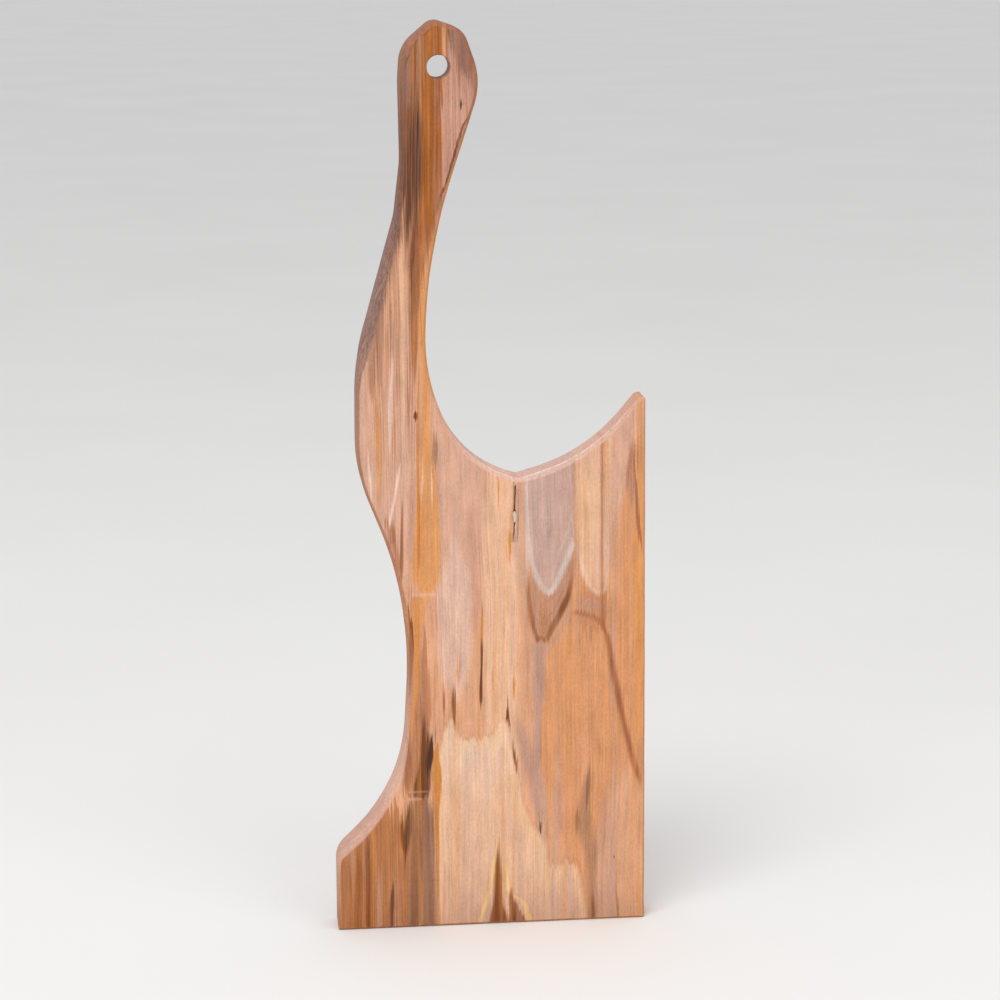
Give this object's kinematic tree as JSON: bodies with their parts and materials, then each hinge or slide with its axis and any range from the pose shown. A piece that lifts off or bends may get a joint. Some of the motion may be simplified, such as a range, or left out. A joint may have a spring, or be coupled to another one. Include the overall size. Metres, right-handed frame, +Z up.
{
  "type": "serving board",
  "caption": "Hand-cut solid wood serving board with a long curved handle, a hanging hole, a concave bite with a pointed horn, and a straight foot.",
  "frame": {"origin": "middle of the foot that the board stands on, half way through its thickness", "axes": "+Z up along the board from foot to handle, -Y out of the front face, +X towards the horn"},
  "size_m": [0.165, 0.02, 0.479],
  "materials": {
    "oiled_wood": "hand-sanded and oiled, satin",
    "filler": "sanded flush, matt"
  },
  "bodies": {
    "root": {"plank": "oiled_wood", "check_filler": "filler"}
  },
  "joints": []
}
